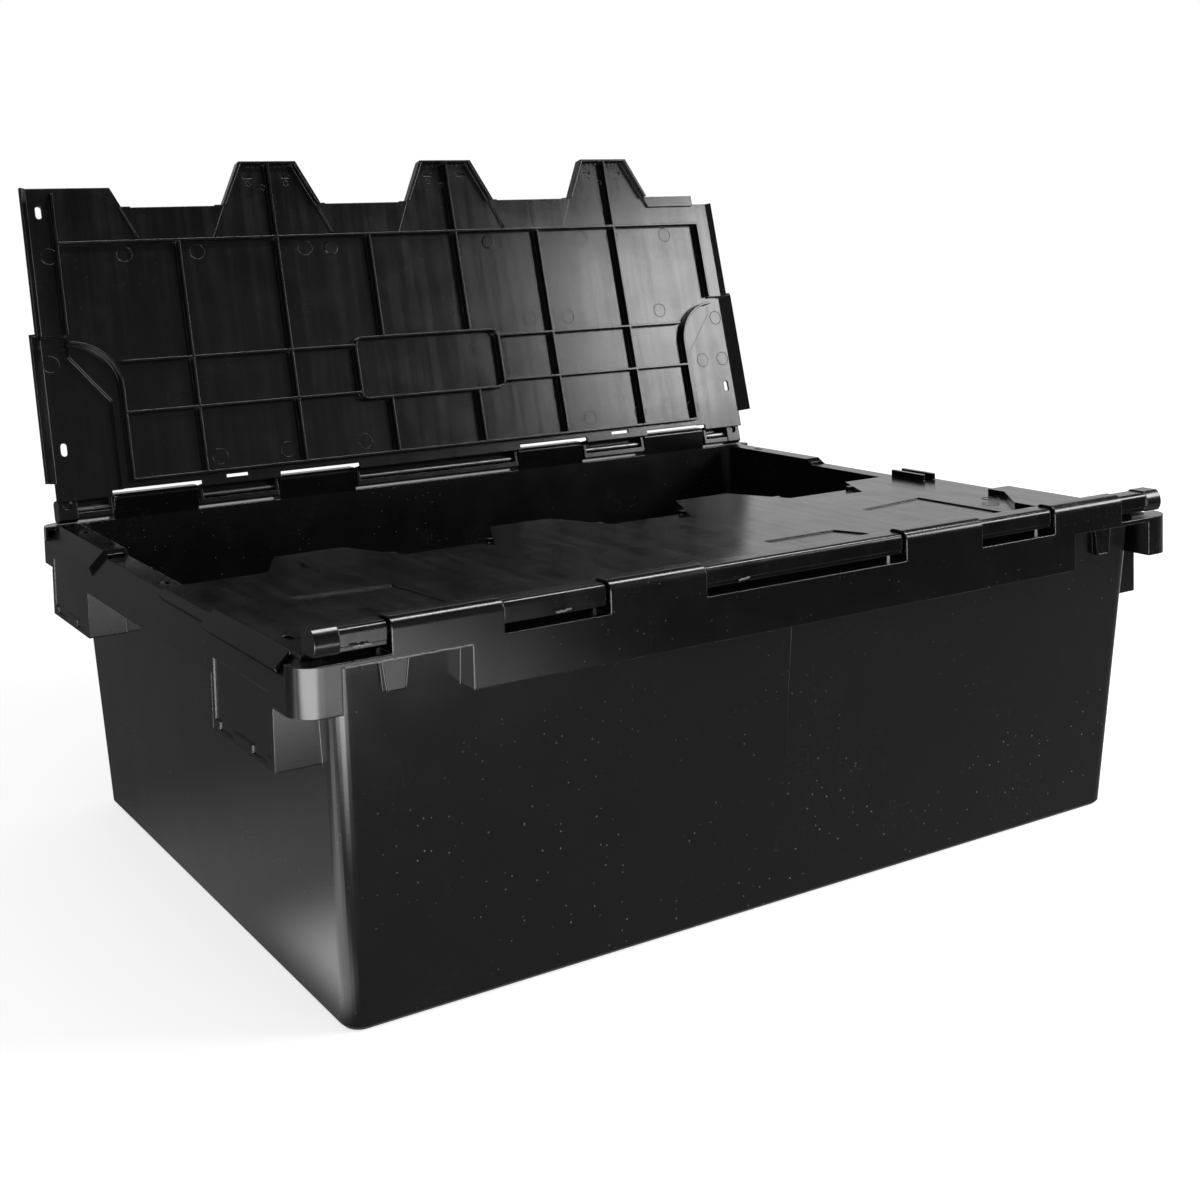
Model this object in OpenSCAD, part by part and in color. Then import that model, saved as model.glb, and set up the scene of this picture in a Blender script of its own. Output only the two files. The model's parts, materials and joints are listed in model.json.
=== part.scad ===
/* [Overall] */
// Length over the corner blocks
length = 800; // [700:5:900]
// Width over the hinge blades
width = 600; // [560:5:700]
// Height of the rim above the standing surface
rim_h = 254; // [200:0.5:320]

/* [Tub walls] */
// Thickness of the walls and the floor
wall_t = 3; // [2.5:0.25:4]
// How far each end wall leans out from base to rim
end_lean = 14; // [8:1:20]
// How far each long wall leans out from base to rim
side_lean = 21; // [15:1:30]
// Radius of the four upright wall corners
wall_r = 14; // [10:1:20]
// Height of the bevel round the base
base_bevel = 3; // [1:0.5:5]

/* [Rim and skirt] */
// Reach of the end rim beyond the mouth of the tub
end_reach = 31; // [28:1:40]
// Thickness of the hinge blades and reach of the long rim
blade_t = 19; // [18:0.5:24]
// Thickness of the rim flange
flange_t = 3.5; // [3:0.25:4.5]
// Thickness of the skirt below the rim
skirt_t = 3; // [2:0.25:4]
// Outer radius of the rim corners
rim_r = 18; // [12:1:24]
// How far the end rim dips between its raised corners
rim_dip = 5.5; // [4:0.5:7]
// Length of each raised rim corner from the long side
raised_l = 158; // [150:1:170]
// Run of the slope from the raised rim to the dip
dip_run = 10; // [6:1:12]
// Width and height of the bevel on the end rim
rim_bevel = 13; // [8:1:15]
// Depth of the corner blocks below the rim
corner_drop = 32.5; // [25:0.5:45]
// Length of the corner blocks along the long side
corner_l = 30; // [24:1:40]
// Depth of the long skirt between the corners
skirt_drop = 33; // [25:0.5:45]
// Distance of that skirt from the ends
skirt_in = 122; // [114:1:130]
// Height of the wall tabs below the rim
tab_drop = 28; // [20:1:32]
// Width of a wall tab at its top
tab_w = 21; // [14:1:26]
// Width of a wall tab at its foot
tab_foot_w = 13; // [8:1:20]
// Distance of the wall tabs from the ends
tab_in = 72; // [66:1:80]
// How far a wall tab stands out
tab_t = 3; // [2:0.5:5]

/* [Handles] */
// Half length of the grip bar between the handle blocks
grip_half = 149; // [120:1:160]
// Depth of the grip bar below the raised rim
grip_drop = 35; // [28:1:45]
// Depth of the handle blocks below the raised rim
block_drop = 74; // [60:1:90]
// Length of each handle block
block_l = 111; // [90:1:120]
// Depth of the panel sunk in each handle block
panel_sink = 1.2; // [0.6:0.2:1.8]
// Width of the frame round that panel
panel_frame = 5; // [3:0.5:8]
// Height of the lugs on the lower lip of a block
lug_h = 8; // [5:0.5:12]
// Length of the middle lug
lug_l = 34; // [20:1:50]
// Length of the two end lugs
lug_end_l = 8; // [5:1:12]

/* [Hinge] */
// Height of the hinge blades above the rim
blade_h = 22.5; // [20:0.5:28]
// Length of a hinge blade
blade_l = 80; // [60:1:84]
// Radius of a blade's upper edge on the inside
blade_r_in = 4; // [2:0.5:5]
// Radius of a blade's upper edge on the outside
blade_r_out = 7; // [4:0.5:8]
// Distance of the outer blades from the ends
blade_end_in = 104; // [102:1:106]
// Place of the inner blades as a share of the half length
blade_in_share = 0.335; // [0.325:0.005:0.345]
// Diameter of the steel hinge rods
rod_d = 6; // [5:0.5:7]
// Distance of the rod from the outer face of a blade
rod_in = 13; // [12:0.5:14]
// Height of the rod above the rim
rod_up = 12; // [12:0.5:13]
// Running clearance round the rod in the lids
rod_gap = 0.08; // [0.04:0.01:0.1]
// Thickness of the webs that hold the rod
web_t = 3; // [2:0.5:5]
// Gap between a blade and the lid knuckle beside it
knuckle_gap = 1.8; // [1:0.2:3]
// Distance of the end blocks from the ends
knuckle_end_in = 13; // [12:1:15]
// Length of the end blocks
end_block_l = 17; // [12:1:24]
// Room between a turning end block and the rim under it
swing_gap = 0.3; // [0.2:0.1:0.8]
// Width of the round pocket under an end block
pocket_d = 8; // [6:0.5:9]
// Depth of that pocket
pocket_h = 3; // [1:0.5:3.5]
// Distance of that pocket from the rod
pocket_v = 4; // [2:0.5:5]
// Reach of a knuckle outwards from the rod
knuckle_out = 10; // [9:0.5:10.5]
// Reach of a knuckle inwards from the rod
knuckle_in = 9.5; // [9:0.5:10.5]
// Height of a knuckle above the rod
knuckle_up = 8.5; // [7.5:0.5:9]
// Wall of a knuckle
knuckle_t = 2.5; // [2:0.25:3]
// Radius of the knuckle's upper edges
knuckle_r = 4; // [3.5:0.5:5]
// Depth of the knuckle's outer face below the rod
knuckle_low = 3.5; // [3:0.5:4]
// Height of the lip under the knuckle
lip_h = 3; // [2:0.5:4]
// Width of that lip
lip_w = 5; // [4:0.5:6]

/* [Lid plate] */
// Thickness of the lid plate
plate_t = 3; // [2.5:0.25:3.5]
// Gap between the closed lid and the rim under it
seat_gap = 0.5; // [0.3:0.1:0.8]
// Distance of the plate's hinge edge from the rod beside the blades
hinge_edge = 12.5; // [11:0.5:14]
// Distance of the flat plate's side edge from the ends
plate_end_in = 11.5; // [11:0.5:12]
// How far the side flap reaches beyond the plate
flap_reach = 5; // [4:0.5:6]
// Height of the side flap
flap_drop = 4.5; // [3:0.5:5]
// How far the corner flap reaches beyond the corner platform
corner_flap_reach = 10.5; // [8:0.5:11]
// Height of the corner flap
corner_flap_drop = 10; // [6:0.5:10.5]
// Distance of the corner flap's start from the rod
corner_flap_v = 24; // [20:1:30]
// Thickness of the corner platforms
platform_t = 2.5; // [2:0.25:3]
// Distance of the corner platform's inner edge from the ends
platform_w = 70; // [68:1:78]
// Length of a corner platform up to its slanted edge
platform_l = 95; // [80:1:105]
// Place where the slanted edge ends
platform_slant_l = 138; // [125:1:140]
// Room between the corner platform and the slope of the rim
step_gap = 3; // [2:0.5:4]

/* [Teeth] */
// Half width of a tooth at its tip
tip_half = 30; // [24:1:34]
// Half width of a valley at its root
root_half = 33; // [31:1:38]
// Distance of the valley roots from the rod
root_v = 245; // [235:1:247]
// Distance of the free edges of the ledges from the rod
ledge_v = 277.5; // [272:0.5:278]
// Distance of the tooth tips from the rod
tip_v = 321; // [312:1:322]
// Distance of the tip of the corner tooth from the rod
corner_tip_v = 298; // [288:1:299]
// Distance of the end strip's free edge from the rod
strip_v = 268; // [262:1:272]
// How far the end strip reaches past the root of the end valley
strip_run = 12; // [8:1:16]
// Thickness of the ledges in the valleys
ledge_t = 2.5; // [2:0.25:3]
// Depth of a ledge below the underside of the plate
ledge_down = 0.5; // [0.3:0.1:0.8]
// Width of the small lugs at the tooth roots
tooth_lug_w = 8; // [5:1:12]
// Length of those lugs
tooth_lug_l = 4; // [3:0.5:6]

/* [Lid ribs] */
// Thickness of the ribs
rib_t = 2.2; // [1.8:0.2:3]
// Depth of the ribs below the plate
rib_d = 7.5; // [5:0.5:8]
// Half length of the rectangular frame in the middle
frame_half = 83; // [60:1:90]
// Half width of that frame
frame_half_w = 32; // [28:1:36]
// Corner radius of that frame
frame_r = 9; // [6:1:14]
// Distance of the frame from the rod
frame_v = 105.5; // [95:1:110]
// Half distance between the two long ribs
long_rib_half = 24; // [18:1:26]
// Distance of the hinge rib from the rod
hinge_rib_v = 19; // [18:0.5:22]
// Distance of the side ribs' outer face from the ends
side_rib_in = 33.5; // [33:0.5:36]
// Distance of the short end ribs from the ends
corner_rib_in = 81; // [80:1:88]
// Radius of the arc rib
arc_r = 46; // [40:1:48]
// Distance of the arc rib's middle from the rod
arc_v = 105; // [100:1:110]
// Radius of the two round pads
pad_r = 7; // [5:0.5:9]
// Height of the round pads
pad_h = 1.5; // [1:0.25:3]
// Place of the round pads from the middle
pad_x = 91; // [85:1:95]
// Distance of the round pads from the rod
pad_v = 232; // [226:1:234]

/* [Slots] */
// Width of a seal slot
seal_w = 6; // [4.5:0.5:7]
// Length of a seal slot
seal_l = 12; // [8:1:14]
// Distance of the seal slots from the ends
seal_in = 23; // [22:0.5:24]
// Distance of the corner seal slots from the rod
seal_v = 54; // [50:1:60]
// Distance of the seal slot at the corner tooth from the rod
seal_tooth_v = 275; // [270:1:278]
// Length of the drain slots beside the hinge
drain_l = 22; // [14:1:26]
// Width of the drain slots
drain_w = 3; // [2:0.5:3]
// Place of the drain slots from the middle
drain_x = 219; // [214:1:222]
// Distance of the drain slots from the rod
drain_v = 14; // [13.5:0.5:14.5]
// Length of the slots near a tooth tip
tip_slot_l = 9; // [6:1:12]
// Width of those slots
tip_slot_w = 3; // [2:0.5:4]
// Distance of those slots from the tooth's middle
tip_slot_x = 20; // [16:1:22]
// Distance of those slots from the tooth tip
tip_slot_in = 14; // [10:1:18]
// Depth of those slots, which end blind in the plate
tip_slot_d = 1.6; // [1:0.2:2]

/* [Lid bars] */
// Height of the two bars on the corner tooth above the plate
bar_h = 6; // [3:0.5:8]
// Width of the bars
bar_w = 4.5; // [3:0.5:5]
// Length of the bars
bar_l = 45; // [30:1:46]
// Distance of the bars from the middle of the seal slot between them
bar_off = 6.75; // [6.5:0.25:7.5]

/* [Lid panels] */
// Depth of the three panels sunk in the top of the lid
top_panel_t = 1.2; // [0.6:0.2:1.6]
// Edges of the left panel: left, far right, near right
panel_left_x = [-324, -247, -239];
// Its far edge at the left and at the right, from the rod
panel_left_v = [178, 171];
// Edges of the middle panel
panel_mid_x = [64, 139, 150];
// Its far edge from the rod
panel_mid_v = [122, 122];
// Edges of the right panel
panel_right_x = [220, 301, 305];
// Its far edge from the rod
panel_right_v = [177, 189];
// Distance from the rod where the right edges turn
panel_turn_v = 97; // [90:1:110]
// Near edge of the panels from the rod
panel_near_v = 45; // [30:1:60]

/* [Pose] */
// How far the rear lid stands open
rear_open = 104.3; // [90:0.1:120]

/* [Hidden] */
plastic = [0.03, 0.03, 0.032];
steel = "silver";
half_l = length / 2;
half_w = width / 2;
eps = 0.01;
disc_h = 0.02;
hull_fn = 32;

// Places that follow the length
pitch = length / 4;
skirt_half = half_l - skirt_in;
tab_x = half_l - tab_in;
blade_out_x = half_l - blade_end_in;
blade_in_x = half_l * blade_in_share;
knuckle_half = half_l - knuckle_end_in;
plate_half = half_l - plate_end_in;
platform_half = plate_half;
platform_in = half_l - platform_w;
side_rib_x = half_l - side_rib_in;
corner_rib_x = half_l - corner_rib_in;
seal_x = half_l - seal_in;

// Tub levels and places
low_rim_h = rim_h - rim_dip;
mouth_x = half_l - end_reach;
mouth_y = half_w - blade_t;
top_x = mouth_x + wall_t;
top_y = mouth_y + wall_t;
base_x = top_x - end_lean;
base_y = top_y - side_lean;
raised_y = half_w - raised_l;
block_y0 = grip_half;
block_y1 = grip_half + block_l;
blade_xs = [-blade_out_x, -blade_in_x, blade_in_x, blade_out_x];

// Hinge axis and levels of the lid, measured from the rod
axis_y = half_w - rod_in;
axis_z = rim_h + rod_up;
rod_r = rod_d / 2;
rod_half = knuckle_half - web_t;
plate_lo = low_rim_h + seat_gap - axis_z;
plate_hi = plate_lo + plate_t;
platform_lo = rim_h + seat_gap - axis_z;
platform_hi = platform_lo + platform_t;
ledge_hi = plate_lo - ledge_down;
ledge_lo = ledge_hi - ledge_t;
rib_lo = plate_lo - rib_d;
blade_half = blade_l / 2;
leg_v = knuckle_in - knuckle_t;
lip_lo = -lip_h - knuckle_low;
step_v = raised_l - rod_in + dip_run + step_gap;

// Teeth: middles of the full teeth, of the corner tooth and of the valleys
tooth_xs = [-1.25 * pitch, -0.25 * pitch, 0.75 * pitch];
corner_tooth_x = 1.75 * pitch;
valley_xs = [-0.75 * pitch, 0.25 * pitch, 1.25 * pitch];
end_valley_x = -1.75 * pitch;
root_tooth_half = pitch / 2 - root_half;
tooth_slope = (root_tooth_half - tip_half) / (tip_v - root_v);
function tooth_half(v) = root_tooth_half - tooth_slope * (v - root_v);
function valley_half(v) = pitch / 2 - tooth_half(v);
function frame_clear(x) = abs(x) > frame_half;

// Rectangle with round corners made of squares and circles
module round_rect(x, y, r) {
    square([2 * (x - r), 2 * y], center = true);
    square([2 * x, 2 * (y - r)], center = true);
    for (sx = [-1, 1], sy = [-1, 1])
        translate([sx * (x - r), sy * (y - r)])
            circle(r = r, $fn = 64);
}

// Ring between two rounded rectangles
module round_ring(x, y, r, t) {
    difference() {
        round_rect(x, y, r);
        round_rect(x - t, y - t, max(r - t, 1));
    }
}

module at_ends() {
    for (sx = [0, 1])
        mirror([sx, 0, 0])
            children();
}

module at_sides() {
    for (sy = [0, 1])
        mirror([0, sy, 0])
            children();
}

module box(x0, x1, y0, y1, z0, z1) {
    translate([x0, y0, z0])
        cube([x1 - x0, y1 - y0, z1 - z0]);
}

// Four thin discs at the corners of one level of a wall
module wall_level(x, y, r, z) {
    for (sx = [-1, 1], sy = [-1, 1])
        translate([sx * (x - r), sy * (y - r), z])
            cylinder(h = disc_h, r = r, $fn = hull_fn);
}

module wall_outside() {
    hull() {
        wall_level(base_x - base_bevel, base_y - base_bevel, wall_r - base_bevel, 0);
        wall_level(base_x, base_y, wall_r, base_bevel);
        wall_level(top_x, top_y, wall_r, rim_h - disc_h);
    }
}

module wall_inside() {
    hull() {
        wall_level(base_x - wall_t, base_y - wall_t, wall_r - wall_t, wall_t);
        wall_level(mouth_x, mouth_y, wall_r - wall_t, rim_h);
    }
}

// Section of the end rim, with its bevel, at a given level
module end_rim_profile(top) {
    bevel_in = half_l - rim_bevel;
    polygon([
        [mouth_x, top], [bevel_in, top],
        [half_l, top - rim_bevel], [half_l, top - rim_bevel - flange_t],
        [half_l - skirt_t, top - rim_bevel - flange_t],
        [bevel_in - flange_t / 2, top - flange_t], [mouth_x, top - flange_t]
    ]);
}

module end_rim(top, y0, y1) {
    translate([0, y1, 0])
        rotate([90, 0, 0])
            linear_extrude(y1 - y0)
                end_rim_profile(top);
}

// Skirt of one stretch, cut from the ring all round
module skirt_stretch(x0, x1, y0, y1, drop, top) {
    intersection() {
        translate([0, 0, rim_h - drop])
            linear_extrude(drop - rim_h + top)
                round_ring(half_l, half_w, rim_r, skirt_t);
        box(x0, x1, y0, y1, 0, top);
    }
}

// Upright web between skirt and wall, across the end of a handle block
module cross_web(y, drop) {
    box(base_x, half_l - eps, y, y + skirt_t, rim_h - drop, low_rim_h - rim_bevel);
}

module end_rims() {
    at_ends() {
        end_rim(low_rim_h, -raised_y, raised_y);
        at_sides() {
            raised_rim();
            skirt_stretch(half_l - corner_l, half_l, block_y1, half_w, corner_drop, rim_h - rim_bevel);
            skirt_stretch(mouth_x, half_l, block_y0, block_y1, block_drop, low_rim_h - rim_bevel);
            cross_web(block_y0, block_drop);
            cross_web(block_y1 - skirt_t, block_drop);
        }
        skirt_stretch(mouth_x, half_l, -block_y0, block_y0, grip_drop, low_rim_h - rim_bevel);
    }
}

// Raised corner of the end rim, with the slope down to the dip
module raised_rim() {
    low_y = raised_y - dip_run;
    difference() {
        union() {
            end_rim(rim_h, low_y, half_w);
            box(half_l - skirt_t, half_l, low_y, half_w,
                low_rim_h - rim_bevel - flange_t, rim_h - rim_bevel);
        }
        translate([mouth_x - 1, 0, 0])
            rotate([90, 0, 90])
                linear_extrude(end_reach + 2)
                    polygon([[low_y - 1, rim_h + 1], [raised_y + 1, rim_h + 1],
                             [raised_y, rim_h], [low_y, low_rim_h], [low_y - 1, low_rim_h]]);
        slope_side_cut(low_y);
    }
}

// The bevel and the outer face follow the same slope
module slope_side_cut(low_y) {
    hull() {
        for (s = [[low_y - eps, low_rim_h], [raised_y, rim_h]])
            translate([0, s[0], s[1]])
                rotate([90, 0, 0])
                    linear_extrude(disc_h)
                        polygon([[half_l - rim_bevel, 0], [half_l + 1, 0],
                                 [half_l + 1, -rim_bevel - 1]]);
    }
}

module long_rims() {
    at_sides() {
        box(-half_l + eps, half_l - eps, mouth_y, half_w, rim_h - flange_t, rim_h);
        skirt_stretch(-skirt_half, skirt_half, mouth_y, half_w, skirt_drop, rim_h);
        for (sx = [-1, 1])
            box(sx * skirt_half - skirt_t / 2, sx * skirt_half + skirt_t / 2,
                base_y, half_w - eps, rim_h - skirt_drop, rim_h);
    }
    at_ends()
        at_sides() {
            skirt_stretch(half_l - corner_l, half_l, mouth_y, half_w, corner_drop, rim_h);
            box(half_l - corner_l, half_l - corner_l + skirt_t,
                base_y, half_w - eps, rim_h - corner_drop, rim_h);
        }
}

module rim() {
    intersection() {
        union() {
            end_rims();
            long_rims();
        }
        linear_extrude(rim_h)
            round_rect(half_l, half_w, rim_r);
    }
}

// Section of a hinge blade, with its round upper edges
module blade_profile(top, r_in, r_out) {
    translate([mouth_y, rim_h - flange_t])
        square([blade_t, top - rim_h + flange_t - r_out]);
    translate([mouth_y + r_in, rim_h])
        square([blade_t - r_in - r_out, top - rim_h]);
    translate([mouth_y, rim_h])
        square([r_in, top - rim_h - r_in]);
    translate([mouth_y + r_in, top - r_in])
        circle(r = r_in, $fn = 48);
    translate([half_w - r_out, top - r_out])
        circle(r = r_out, $fn = 48);
}

module along_x(x0, x1) {
    translate([x0, 0, 0])
        rotate([90, 0, 90])
            linear_extrude(x1 - x0)
                children();
}

module blades() {
    at_sides()
        for (x = blade_xs)
            along_x(x - blade_half, x + blade_half)
                blade_profile(rim_h + blade_h, blade_r_in, blade_r_out);
}

// Hollow under each blade, open to the inside of the skirt
module blade_hollows() {
    at_sides()
        for (x = blade_xs)
            box(x - blade_half + web_t, x + blade_half - web_t,
                mouth_y + wall_t, half_w - skirt_t, rim_h - flange_t - 1, axis_z + rod_r + 2);
}

module rod_bores(r) {
    at_sides()
        translate([-half_l, axis_y, axis_z])
            rotate([0, 90, 0])
                cylinder(h = length, r = r, $fn = 48);
}

// Tapered tab on the long wall under the rim
module wall_tab() {
    lean = side_lean * tab_drop / rim_h;
    translate([0, top_y + tab_t, 0])
        rotate([90, 0, 0])
            linear_extrude(tab_t + lean + wall_t)
                polygon([[-tab_w / 2, rim_h - eps], [tab_w / 2, rim_h - eps],
                         [tab_foot_w / 2, rim_h - tab_drop], [-tab_foot_w / 2, rim_h - tab_drop]]);
}

module wall_tabs() {
    at_sides()
        for (sx = [-1, 1])
            translate([sx * tab_x, 0, 0])
                wall_tab();
}

// Sunk panel in a handle block
module block_panels() {
    at_ends()
        at_sides()
            box(half_l - panel_sink, half_l + 1,
                block_y0 + panel_frame, block_y1 - panel_frame,
                rim_h - block_drop + panel_frame / 2, low_rim_h - rim_bevel - panel_frame);
}

// Lugs on the lower lip of a handle block
module block_lugs() {
    mid = (block_y0 + block_y1) / 2;
    foot = rim_h - block_drop;
    at_ends()
        at_sides()
            for (lug = [[mid, lug_l],
                        [block_y0 + panel_frame + lug_end_l / 2, lug_end_l],
                        [block_y1 - panel_frame - lug_end_l / 2, lug_end_l]])
                box(half_l - skirt_t, half_l, lug[0] - lug[1] / 2, lug[0] + lug[1] / 2,
                    foot, foot + lug_h);
}

module seal_slot(x, y, z0, z1) {
    translate([x, y, z0]) {
        translate([-seal_w / 2, -(seal_l - seal_w) / 2, 0])
            cube([seal_w, seal_l - seal_w, z1 - z0]);
        for (s = [-1, 1])
            translate([0, s * (seal_l - seal_w) / 2, 0])
                cylinder(h = z1 - z0, d = seal_w, $fn = 32);
    }
}

module tub_seal_slots() {
    for (sx = [-1, 1], sy = [-1, 1])
        seal_slot(sx * seal_x, sy * (axis_y - seal_v), rim_h - flange_t - 4, rim_h + 1);
    for (s = [-1, 1])
        seal_slot(s * seal_x, s * (seal_tooth_v - axis_y), low_rim_h - flange_t - 4, low_rim_h + 1);
}

// The end walls stop at the dipped rim
module end_dips() {
    low_y = raised_y - dip_run;
    translate([-half_l, 0, 0])
        rotate([90, 0, 90])
            linear_extrude(length)
                polygon([[-raised_y, rim_h], [-low_y, low_rim_h], [low_y, low_rim_h], [raised_y, rim_h],
                         [raised_y, rim_h + 1], [-raised_y, rim_h + 1]]);
}

module tub() {
    color(plastic)
        difference() {
            union() {
                difference() {
                    union() {
                        wall_outside();
                        rim();
                    }
                    end_dips();
                    block_panels();
                }
                wall_tabs();
                blades();
                block_lugs();
            }
            wall_inside();
            blade_hollows();
            rod_bores(rod_r);
            tub_seal_slots();
        }
}

// Flat piece of the lid between two levels
module slab(lo, hi) {
    translate([0, 0, lo])
        linear_extrude(hi - lo)
            children();
}

module rect2(x0, x1, v0, v1) {
    translate([x0, v0])
        square([x1 - x0, v1 - v0]);
}

module tooth_outline(x, v1) {
    polygon([[x - root_tooth_half, root_v], [x - tooth_half(v1), v1],
             [x + tooth_half(v1), v1], [x + root_tooth_half, root_v]]);
}

// Teeth side of the plate: three full teeth, a corner tooth and an end strip
module plate_outline() {
    rect2(-plate_half, plate_half, hinge_edge, root_v);
    for (x = tooth_xs)
        tooth_outline(x, tip_v);
    intersection() {
        tooth_outline(corner_tooth_x, corner_tip_v);
        rect2(0, plate_half, 0, corner_tip_v);
    }
    rect2(corner_tooth_x, plate_half, root_v - 1, corner_tip_v);
    rect2(-plate_half, end_valley_x + root_half + strip_run, root_v - 1, strip_v);
}

// Outline of a corner platform, grown inwards by the wall that carries it
module platform_outline(grow) {
    polygon([
        [platform_in - grow, hinge_edge], [platform_in - grow, platform_l + grow / 2],
        [side_rib_x - rib_t - grow, platform_slant_l + grow], [side_rib_x - rib_t - grow, step_v + grow],
        [platform_half, step_v + grow], [platform_half, hinge_edge]
    ]);
}

module platform_edge() {
    rect2(knuckle_half - end_block_l, platform_half, leg_v, hinge_edge + 1);
}

module corner_platforms() {
    at_ends() {
        slab(platform_lo, platform_hi) {
            platform_outline(knuckle_t);
            platform_edge();
        }
        slab(plate_lo, platform_hi)
            difference() {
                platform_outline(knuckle_t);
                platform_outline(0);
            }
    }
}

// Sloping flap along the side of the lid
module flap(x, top, reach, drop, t, v0, v1) {
    translate([0, v1, 0])
        rotate([90, 0, 0])
            linear_extrude(v1 - v0)
                polygon([[x - t, top], [x, top], [x + reach, top - drop],
                         [x + reach - t / 2, top - drop - t], [x - t / 2, top - t], [x - t, top - t]]);
}

module side_flaps() {
    flap(plate_half, plate_hi, flap_reach, flap_drop, plate_t, step_v, corner_tip_v);
    mirror([1, 0, 0])
        flap(plate_half, plate_hi, flap_reach, flap_drop, plate_t, step_v, strip_v);
    at_ends() {
        flap(platform_half, platform_hi, corner_flap_reach, corner_flap_drop, platform_t, corner_flap_v, step_v);
        corner_flap_end();
    }
}

// Upright end of the corner flap where the side steps in
module corner_flap_end() {
    translate([0, step_v + knuckle_t, 0])
        rotate([90, 0, 0])
            linear_extrude(knuckle_t)
                polygon([[plate_half - plate_t, platform_hi], [platform_half, platform_hi],
                         [platform_half + corner_flap_reach, platform_hi - corner_flap_drop],
                         [plate_half + flap_reach, plate_hi - flap_drop - 2],
                         [plate_half - plate_t / 2, plate_lo], [plate_half - plate_t, plate_lo]]);
}

module valley_outline(x, grow) {
    polygon([[x - root_half - grow, root_v - grow], [x - valley_half(ledge_v) - grow, ledge_v],
             [x + valley_half(ledge_v) + grow, ledge_v], [x + root_half + grow, root_v - grow]]);
}

// The end valley starts at the end strip and runs out at the side of the lid
module end_valley_outline(grow) {
    intersection() {
        valley_outline(end_valley_x, grow);
        rect2(-side_rib_x, end_valley_x + pitch / 2, strip_v - grow, ledge_v);
    }
}

// Stepped ledges in the valleys, with the wall that drops to them
module ledges() {
    lug_x = valley_half(ledge_v) + rib_t / 2 - tooth_lug_w / 2;
    for (x = valley_xs) {
        slab(ledge_lo, ledge_hi)
            valley_outline(x, rib_t);
        slab(ledge_lo, plate_hi)
            difference() {
                valley_outline(x, rib_t);
                valley_outline(x, 0);
            }
        for (s = [-1, 1])
            translate([x + s * lug_x, 0, 0])
                slab(ledge_lo, plate_hi)
                    rect2(-tooth_lug_w / 2, tooth_lug_w / 2, ledge_v + 1 - tooth_lug_l, ledge_v + 1);
    }
    slab(ledge_lo, ledge_hi)
        end_valley_outline(rib_t);
    slab(ledge_lo, plate_hi)
        difference() {
            end_valley_outline(rib_t);
            end_valley_outline(0);
        }
}

module rib_slab() {
    slab(rib_lo, plate_lo + eps)
        children();
}

module cross_rib(x, v0, v1) {
    rib_slab()
        rect2(x - rib_t / 2, x + rib_t / 2, v0, v1);
}

module long_rib(v, x0, x1) {
    rib_slab()
        rect2(x0, x1, v - rib_t / 2, v + rib_t / 2);
}

// Rib that rounds the corner platform
module arc_rib() {
    rib_slab() {
        intersection() {
            translate([corner_rib_x + arc_r, arc_v])
                difference() {
                    circle(r = arc_r, $fn = 96);
                    circle(r = arc_r - rib_t, $fn = 96);
                }
            rect2(corner_rib_x, corner_rib_x + arc_r, arc_v, arc_v + arc_r);
        }
        rect2(corner_rib_x, corner_rib_x + rib_t, hinge_rib_v, arc_v);
    }
}

module lid_ribs() {
    root_rib_v = root_v - rib_t / 2;
    for (i = [0:5]) {
        x = (i - 2.5) * pitch / 2;
        cross_rib(x, hinge_rib_v, frame_clear(x) ? root_v : frame_v - frame_half_w);
        if (!frame_clear(x))
            cross_rib(x, frame_v + frame_half_w, root_v);
    }
    for (x = tooth_xs)
        cross_rib(x, root_v - 1, tip_v - rib_t);
    for (x = tooth_xs)
        rib_slab()
            tooth_rim(x, tip_v);
    long_rib(root_rib_v, -side_rib_x, side_rib_x);
    long_rib(hinge_rib_v, -corner_rib_x - rib_t, corner_rib_x + rib_t);
    for (v = [frame_v - long_rib_half, frame_v + long_rib_half])
        for (s = [-1, 1])
            long_rib(v, min(s * corner_rib_x, s * frame_half), max(s * corner_rib_x, s * frame_half));
    rib_slab()
        translate([0, frame_v])
            round_ring(frame_half, frame_half_w, frame_r, rib_t);
    at_ends() {
        arc_rib();
        cross_rib(side_rib_x - rib_t / 2, step_v, root_v);
    }
    cross_rib(side_rib_x - rib_t / 2, root_v - 1, corner_tip_v - 3 * rib_t);
    for (s = [-1, 1])
        translate([s * pad_x, pad_v, plate_lo - pad_h])
            cylinder(h = pad_h + eps, r = pad_r, $fn = 48);
}

// Thin edge turned down round the tip of a tooth
module tooth_rim(x, v1) {
    intersection() {
        difference() {
            tooth_outline(x, v1);
            tooth_outline_in(x, v1);
        }
        rect2(x - pitch / 2, x + pitch / 2, ledge_v, v1);
    }
}

module tooth_outline_in(x, v1) {
    polygon([[x - root_tooth_half + rib_t, root_v], [x - tooth_half(v1) + rib_t, v1 - rib_t],
             [x + tooth_half(v1) - rib_t, v1 - rib_t], [x + root_tooth_half - rib_t, root_v]]);
}

// Section of a lid knuckle: inner leg, top and outer face with its lip
module knuckle_profile(leg_lo) {
    difference() {
        knuckle_outside(leg_lo);
        knuckle_hollow();
    }
    translate([1 - knuckle_out, lip_lo])
        square([lip_w, knuckle_t - 0.5]);
    translate([1 - knuckle_out, lip_lo])
        square([knuckle_t - 0.5, lip_h + 2]);
}

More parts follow.
